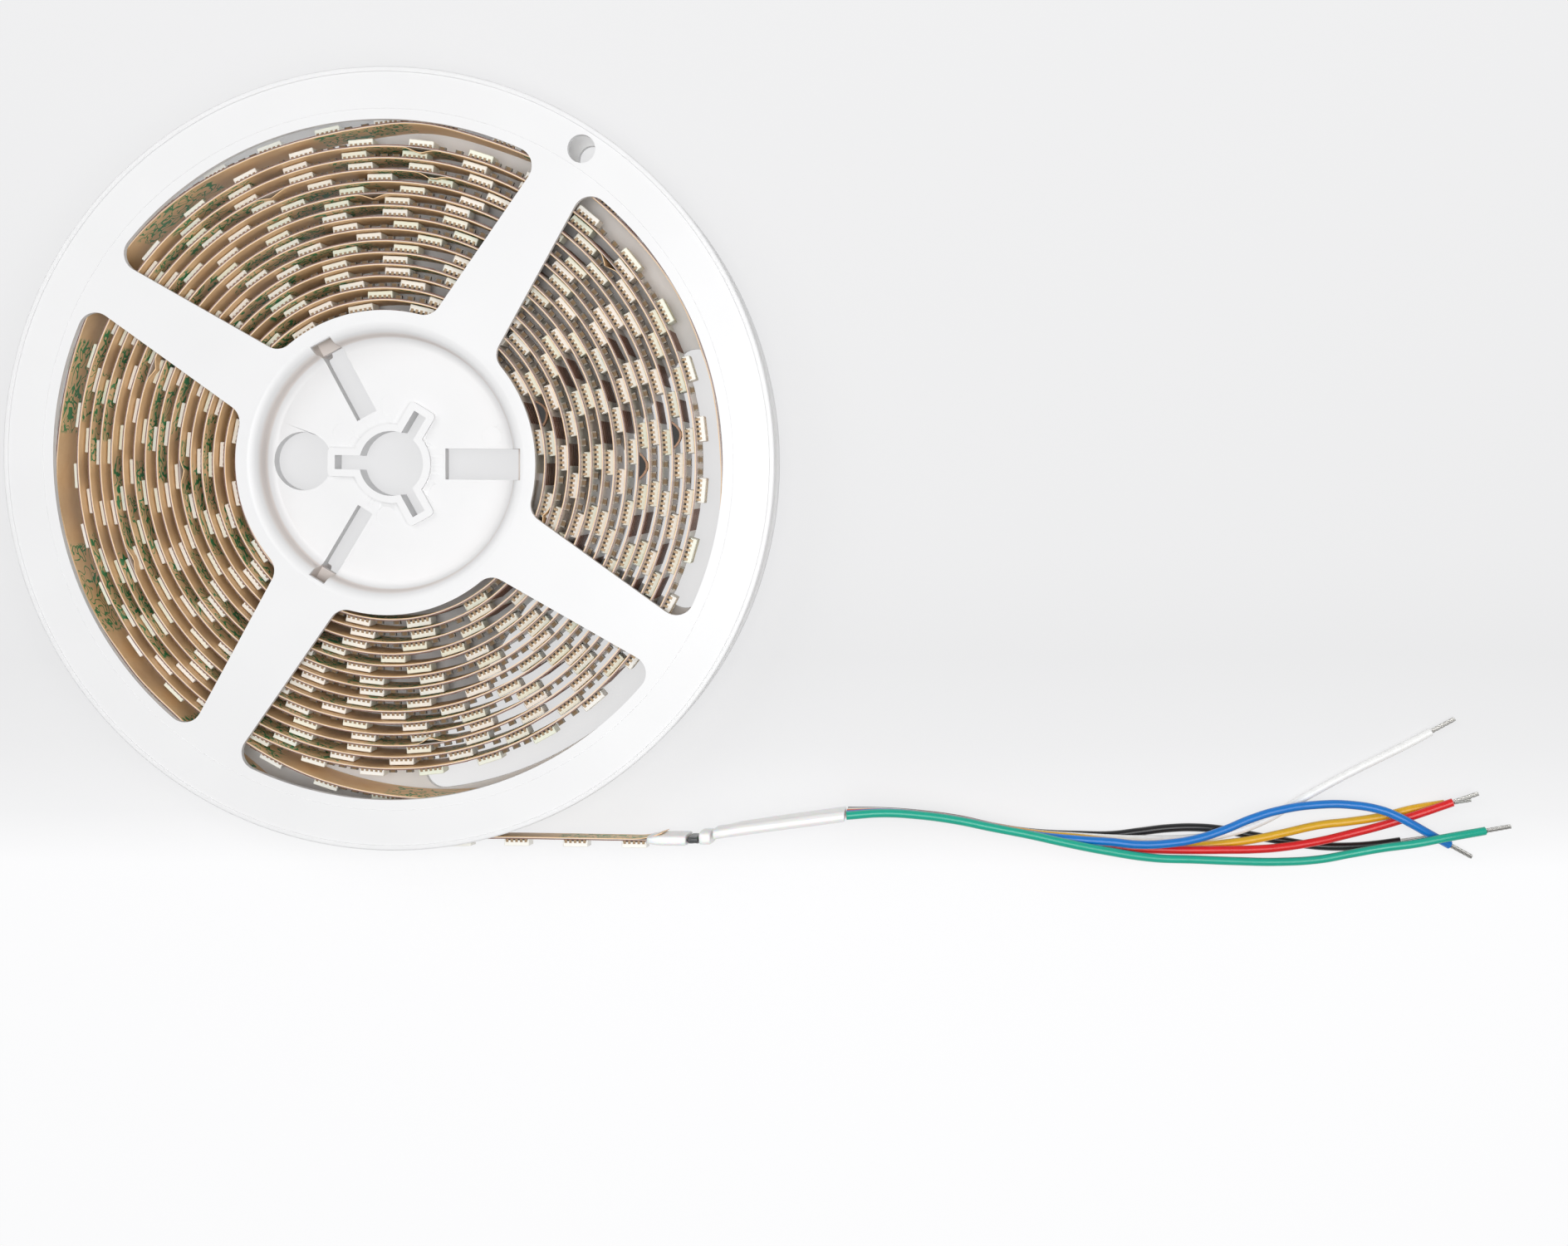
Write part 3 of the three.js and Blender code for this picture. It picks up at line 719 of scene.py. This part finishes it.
# The strip's flexible board, its adhesive tape and the tape's paper liner. The liner is tan paper with faint
# green printing, and it has come off the tape in places, in small kinks and blisters.
liner_thickness = 0.14
tape_thickness = 0.1
board_thickness = 0.21
ribbon_step = 1.1
liner_wave = 0.035
liner_curl = 1.3
curl_length = 6
liner_kinks = (
    (84, 14.5, 1.0, 3.2), (80, 12.9, 1.1, 3.0), (115, 12.3, 0.9, 3.5), (94, 10.4, 1.0, 3.0),
    (184, 5.8, 0.9, 2.6), (41, 13.6, 1.2, 2.5), (342, 1.2, 1.1, 2.2), (278, 11.6, 1.2, 2.8),
    (160, 9.5, 1.0, 2.4), (200, 11.2, 0.8, 3.0),
)


def station_at(angle, turn):
    """The distance along the strip of an angle, in degrees, on a turn counted from the drum"""
    ahead = (angle - first_angle) % 360 + 360 * int(turn)
    share = min(ahead / 360 * turn_samples, len(stations) - 2)
    return stations[int(share)]


def liner_lift(station, across):
    """How far the liner's paper stands off the tape"""
    wave = liner_wave * math.sin(station * 0.9) * math.sin(station * 0.237 + 1.3)
    lift = max(wave, 0) * (0.4 + 0.6 * across)
    lift += liner_curl * max(1 - (strip_length - station) / curl_length, 0) ** 2
    for angle, turn, height, length in liner_kinks:
        off = abs(station - station_at(angle, turn)) / length
        if off < 1:
            lift += height * (1 - off) ** 1.3 * (0.25 + 0.75 * across)
    return lift


def ribbon(name, finish, low, high, lift=None):
    """A flat band of the strip between two heights, subdivided along and wound"""
    steps = int(strip_length / ribbon_step)
    bm = bmesh.new()
    bmesh.ops.create_cube(bm, size=1)
    bmesh.ops.scale(bm, vec=(strip_length, high - low, strip_width), verts=bm.verts[:])
    bmesh.ops.translate(bm, vec=(strip_length / 2, (low + high) / 2, strip_middle), verts=bm.verts[:])
    along = [e for e in bm.edges if abs(e.verts[0].co.x - e.verts[1].co.x) > 1]
    bmesh.ops.subdivide_edges(bm, edges=along, cuts=steps - 1, use_grid_fill=True)
    layer = bm.loops.layers.uv.new("strip")
    for face in bm.faces:
        for loop in face.loops:
            flat = loop.vert.co
            loop[layer].uv = (flat.x * mm, (flat.z - strip_low) * mm)
    for vert in bm.verts:
        if lift:
            across = (vert.co.z - strip_low) / strip_width
            vert.co.y -= lift(vert.co.x, across)
        vert.co = wind(vert.co)
    finish_piece(name, finished_mesh(name, bm), [finish], ["led_strip"])


paper = Finish("liner_paper", roughness=0.5)
sheet = paper.uv("strip")
stretched = paper.start.node(
    "ShaderNodeVectorMath", {0: sheet, 1: (1 / mm, 1 / mm, 1)}, operation="MULTIPLY")
along_strip = paper.start.node("ShaderNodeSeparateXYZ", {0: stretched})
across_strip = paper.start.node("ShaderNodeSeparateXYZ", {0: stretched}, output=1)
fibre = stretched.noise(0.35, detail=5, roughness=0.65)
tan = fibre.mix((0.78, 0.48, 0.23), (0.97, 0.70, 0.42))
repeat = along_strip.math("PINGPONG", along_strip, 21.0)
swirl = stretched.noise(0.36, detail=0, distortion=1.5)
stroke = 1 - swirl.math("ABSOLUTE", swirl - 0.5).above(0.06, 0.02)
print_mask = stroke * repeat.above(11.5, 1.0) * across_strip.above(1.5, 0.5)
print_mask *= 1 - across_strip.above(11.5, 0.4)
paper.set("Base Color", (print_mask * 0.95).mix(tan, (0.0, 0.27, 0.09)))
paper.bump(fibre, 0.05, 0.4)

tape = Finish("adhesive_tape", roughness=0.5)
tape.set("Base Color", tape.place.noise(2.0).mix((0.62, 0.56, 0.52), (0.82, 0.78, 0.75)))

board = Finish("board", roughness=0.3)
height = board.axis("Z")
lines = height.math("PINGPONG", height - strip_low, 0.75)
trace = 1 - lines.above(0.14, 0.05)
edge = height.above(strip_low + strip_width - 0.08, 0.04) + (1 - height.above(strip_low + 0.08, 0.04))
mask = board.place.noise(1.2, detail=3).mix((0.91, 0.90, 0.88), (0.95, 0.94, 0.92))
board_face = (trace * 0.18).mix(mask, (0.45, 0.44, 0.43))
weave = board.place.noise(3.0, detail=2).mix((0.10, 0.035, 0.02), (0.34, 0.19, 0.14))
board.set("Base Color", edge.mix(board_face, weave))

tape_low = liner_thickness
board_low = tape_low + tape_thickness
board_high = board_low + board_thickness
ribbon("strip_liner", paper, 0, liner_thickness, liner_lift)
ribbon("strip_tape", tape, tape_low, board_low)
ribbon("strip_board", board, board_low, board_high)


# What is soldered on the board: square LED packages with five leads on two of their sides, chip resistors
# between them, and a row of bare copper pads at every third gap, where the strip can be cut.
led_pitch = 11.95
led_size = 5
led_height = 1.6
led_forward = 1
led_seat = 0.12
led_edge = 0.12
window_margin = 0.45
window_slope = 0.15
window_depth = 0.12
lead_count = 5
lead_pitch = 0.95
lead_foot = (0.5, 0.2, 0.5)
lead_heel = (0.5, 0.72, 0.16)
lead_shade_slab = (4.5, 0.42, 0.1)
resistor_size = (1.5, 0.8, 0.8)
resistor_forward = 3.2
resistor_rows = {1: (-2.4, 0, 2.4), 2: (-1.7, 1.7)}
pad_count = 6
pad_length = 4.4
pad_width = 1.35
pad_pitch = 1.95
pad_rise = 0.05
bare_tail_gaps = 2
foil_places = ((2, 12), (354, 8), (27, 1))
foil_half = 2.7
foil_rise = 1.7
foil_hollow_half = 2.25
foil_hollow_rise = 1.3
foil_low = 4.6
led_count = round(strip_length / led_pitch)
led_step = strip_length / led_count
led_stations = [(i + 0.5) * led_step for i in range(led_count)]
rows = random.Random(7)


def block(bm, size, centre):
    """A box with its middle at a point"""
    made = bmesh.ops.create_cube(bm, size=1)["verts"]
    bmesh.ops.scale(bm, vec=size, verts=made)
    bmesh.ops.translate(bm, vec=centre, verts=made)
    return made


def template(build):
    bm = bmesh.new()
    build(bm)
    mesh = bpy.data.meshes.new("template")
    bm.to_mesh(mesh)
    bm.free()
    return mesh


def set_row(name, build, places, finishes, tint=None):
    """One piece made of a small part set down at each place on the strip"""
    part = template(build)
    bm = bmesh.new()
    shade = bm.verts.layers.float.new("tint")
    for station in places:
        first = len(bm.verts)
        copy = part.copy()
        copy.transform(set_down(station, board_high))
        bm.from_mesh(copy)
        bpy.data.meshes.remove(copy)
        value = tint() if tint else 0.0
        bm.verts.ensure_lookup_table()
        for vert in bm.verts[first:]:
            vert[shade] = value
    bpy.data.meshes.remove(part)
    finish_piece(name, finished_mesh(name, bm), finishes, ["led_strip"])


def led_package(bm):
    """A square package with a bevelled rim round its sunk window"""
    block(bm, (led_size, led_height - led_seat, led_size), (0, (led_height + led_seat) / 2, led_forward))
    bmesh.ops.bevel(
        bm, geom=bm.edges[:], offset=led_edge, segments=1, profile=0.5, material=-1, affect="EDGES")
    # Painted shade: a near-black slab along each side, at the board, stands in for the shade between the
    # leads.
    for side in (-1, 1):
        shade_slab = block(bm, lead_shade_slab, (0, 0.24, led_forward + side * (led_size / 2 - 0.01)))
        for face in {face for vert in shade_slab for face in vert.link_faces}:
            face.material_index = 2
    top = max(bm.faces, key=lambda face: face.calc_center_median().y)
    bmesh.ops.inset_region(bm, faces=[top], thickness=window_margin, depth=0)
    bmesh.ops.inset_region(bm, faces=[top], thickness=window_slope, depth=-window_depth)
    top.material_index = 1


def lead_rows(bm):
    """The leads on each side: a foot on the board and a heel against the package"""
    for side in (-1, 1):
        for i in range(lead_count):
            x = (i - (lead_count - 1) / 2) * lead_pitch
            block(bm, lead_foot, (x, 0.1, led_forward + side * (led_size / 2 + 0.05)))
            block(bm, lead_heel, (x, 0.46, led_forward + side * (led_size / 2 + 0.06)))


def resistor(bm):
    length, rise, width = resistor_size
    block(bm, (length - 0.5, rise, width), (0, rise / 2, resistor_forward))


def resistor_ends(bm):
    length, rise, width = resistor_size
    for side in (-1, 1):
        place = (side * (length / 2 - 0.16), rise / 2, resistor_forward)
        block(bm, (0.28, rise + 0.04, width + 0.04), place)


def cut_pads(bm):
    for i in range(pad_count):
        z = (i - (pad_count - 1) / 2) * pad_pitch
        block(bm, (pad_length, pad_rise, pad_width), (0, pad_rise / 2, z))


def lifted_foil(bm):
    """The frontmost copper pad where it has come off the board in an arch, with a black filling under it as
    painted shade in the hollow
    """
    places = [i / 6 - 1 for i in range(13)]
    outer = [(foil_half * x, 0.05 + foil_rise * (1 - x * x)) for x in places]
    inner = [(foil_hollow_half * x, 0.03 + foil_hollow_rise * (1 - x * x)) for x in places]
    prism(bm, outer + inner[::-1], foil_low, strip_width / 2 - 0.05)
    arch = set(bm.faces)
    # Painted shade: a black filling under the arch darkens its hollow.
    prism(bm, inner, foil_low, strip_width / 2 - 0.15)
    for face in set(bm.faces) - arch:
        face.material_index = 1


resistor_stations = []
pad_stations = []
foil_stations = []
for i, station in enumerate(led_stations[:-1]):
    gap_middle = station + led_step / 2
    kind = i % 3
    if any(abs(gap_middle - station_at(*place)) < led_step / 2 for place in foil_places):
        foil_stations.append(gap_middle)
    elif kind == 0 or i >= led_count - 1 - bare_tail_gaps:
        pad_stations.append(gap_middle)
    else:
        resistor_stations += [gap_middle + off for off in resistor_rows[kind]]

package = Finish("led_package", roughness=0.4)
tint = package.attribute("tint")
package.set("Base Color", tint.mix((0.94, 0.92, 0.87), (0.85, 0.88, 0.74)))
phosphor = Finish("led_window", roughness=0.25, coat_weight=0.3)
phosphor.set("Base Color", phosphor.place.noise(0.9).mix((0.75, 0.62, 0.22), (0.85, 0.78, 0.45)))
# Painted shade between the leads, nearly black.
lead_shade = Finish("lead_shade", roughness=0.6)
lead_shade.set("Base Color", lead_shade.place.noise(2.0).mix((0.02, 0.014, 0.01), (0.07, 0.05, 0.035)))
lead_metal = Finish("lead_metal", metallic=0.35, roughness=0.42)
lead_metal.set("Base Color", lead_metal.place.noise(1.5).mix((0.24, 0.16, 0.09), (0.46, 0.33, 0.20)))
ceramic = Finish("resistor_body", roughness=0.5)
ceramic.set("Base Color", ceramic.place.noise(0.8).mix((0.09, 0.05, 0.018), (0.27, 0.17, 0.07)))
solder = Finish("resistor_end", metallic=0.7, roughness=0.4)
solder.set("Base Color", solder.place.noise(2.0).mix((0.03, 0.026, 0.02), (0.25, 0.22, 0.18)))
copper = Finish("cut_pad", metallic=0.4, roughness=0.5)
copper.set("Base Color", copper.place.noise(2.2, detail=4).mix((0.10, 0.035, 0.02), (0.32, 0.17, 0.12)))
foil = Finish("lifted_foil", metallic=0.4, roughness=0.3)
foil.set("Base Color", foil.place.noise(1.5).mix((0.06, 0.025, 0.01), (0.20, 0.10, 0.045)))
# Painted shade for the foil's hollow, nearly black.
hollow_shade = Finish("foil_hollow_shade", roughness=0.6)
hollow_shade.set("Base Color", hollow_shade.place.noise(1.5).mix((0.004, 0.004, 0.004), (0.02, 0.016, 0.012)))

set_row("led_packages", led_package, led_stations, [package, phosphor, lead_shade],
        lambda: rows.random() ** 2)
set_row("led_leads", lead_rows, led_stations, [lead_metal])
set_row("resistors", resistor, resistor_stations, [ceramic])
set_row("resistor_ends", resistor_ends, resistor_stations, [solder])
set_row("cut_pads", cut_pads, pad_stations, [copper])
set_row("lifted_foil", lifted_foil, foil_stations, [foil, hollow_shade])


# The strip's end: a soft white cap over the cut, a dark shrink band over the soldered joint, a white cuff
# and the flat white shrink sleeve that holds the six wires side by side.
wire_heights = [3.1, 5.1, 7.1, 9.1, 11.1, 13.1]
ring_points = 72


def ring(bm, x, y, thick, wide, drop=tail_drop, ridges=0.0):
    """A flat loop across the run, with its back edge lower by the drop and a ridge over each wire"""
    made = bmesh.ops.create_circle(bm, cap_ends=False, segments=ring_points, radius=1)["verts"]
    for vert in made:
        angle = math.atan2(vert.co.y, vert.co.x)
        cos, sin = math.cos(angle), math.sin(angle)
        across = math.copysign(abs(sin) ** 0.35, sin) * wide / 2
        out = math.copysign(abs(cos) ** 0.55, cos) * thick / 2
        height = strip_middle + across
        nearest = min(abs(height - wire) for wire in wire_heights)
        out *= 1 - ridges * min(nearest, 1) ** 2
        vert.co = (x, y + out - drop * (strip_low + strip_width - height) / strip_width, height)
    return list({edge for vert in made for edge in vert.link_edges})


def loft(name, rings, finish, node):
    """A closed skin over a row of loops, each given as the values of ring"""
    bm = bmesh.new()
    loops = [ring(bm, *values) for values in rings]
    for here, there in zip(loops, loops[1:]):
        bmesh.ops.bridge_loops(bm, edges=here + there)
    for end in (loops[0], loops[-1]):
        bmesh.ops.holes_fill(bm, edges=end, sides=ring_points)
    mesh = finished_mesh(name, bm)
    mesh.shade_smooth()
    mesh.set_sharp_from_angle(angle=math.radians(50))
    finish_piece(name, mesh, [finish], [node])


soft_white = Finish("soft_white", roughness=0.42, subsurface_weight=0.3, subsurface_scale=0.0015)
soft_white.set("Base Color", soft_white.place.noise(0.5).mix((0.87, 0.87, 0.86), (0.92, 0.92, 0.915)))
soft_white.bump(soft_white.place.noise(0.8, detail=3), 0.05, 0.4)
dark_shrink = Finish("dark_shrink", roughness=0.35)
crumple = dark_shrink.place.noise(2.2, detail=4)
dark_shrink.set("Base Color", crumple.mix((0.012, 0.014, 0.016), (0.11, 0.115, 0.12)))
dark_shrink.bump(dark_shrink.place.noise(1.8, detail=3), 0.25, 0.8)

end_y = tail_y - 0.225
cuff_y = end_y + 0.4
loft("end_cap", [
    (51.1, end_y, 1.5, 12.6), (51.6, end_y, 1.75, 13.6), (52.7, end_y, 2.1, 14.1), (54.1, end_y, 2.38, 14.2),
    (57, end_y, 2.4, 14.2), (58.6, end_y, 2.4, 14.2), (58.9, end_y, 2.2, 14.0), (59, end_y, 1.5, 13),
], soft_white, "strip_end_cap")
loft("shrink_band", [
    (59.3, end_y, 1.2, 11.6), (59.4, end_y, 1.55, 11.9), (60, end_y, 1.6, 12), (60.7, end_y, 1.45, 12),
    (61.2, end_y, 1.58, 11.9), (61.3, end_y, 1.2, 11.6),
], dark_shrink, "joint_band")
loft("cuff", [
    (61.6, cuff_y, 2.3, 12.8), (61.75, cuff_y, 2.75, 13.15), (62.7, cuff_y, 2.8, 13.2),
    (63.6, cuff_y, 2.7, 13.1), (63.8, cuff_y, 2.3, 12.8),
], soft_white, "sleeve_cuff")
loft("sleeve", [
    (64.4, -74.4, 1.9, 12.2, 1.1, 0), (64.6, -74.4, 2.3, 12.5, 1.1, 0.05),
    (66.7, -74.1, 2.2, 12.4, 1.1, 0.1), (69, -73.7, 2.4, 12.6, 1, 0.14),
    (76, -72.75, 2.35, 12.6, 0.8, 0.2), (84, -71.7, 2.35, 12.6, 0.7, 0.25),
    (90.3, -70.85, 2.35, 12.6, 0.7, 0.27), (90.6, -70.8, 2.2, 12.5, 0.7, 0.27),
], soft_white, "wire_sleeve")
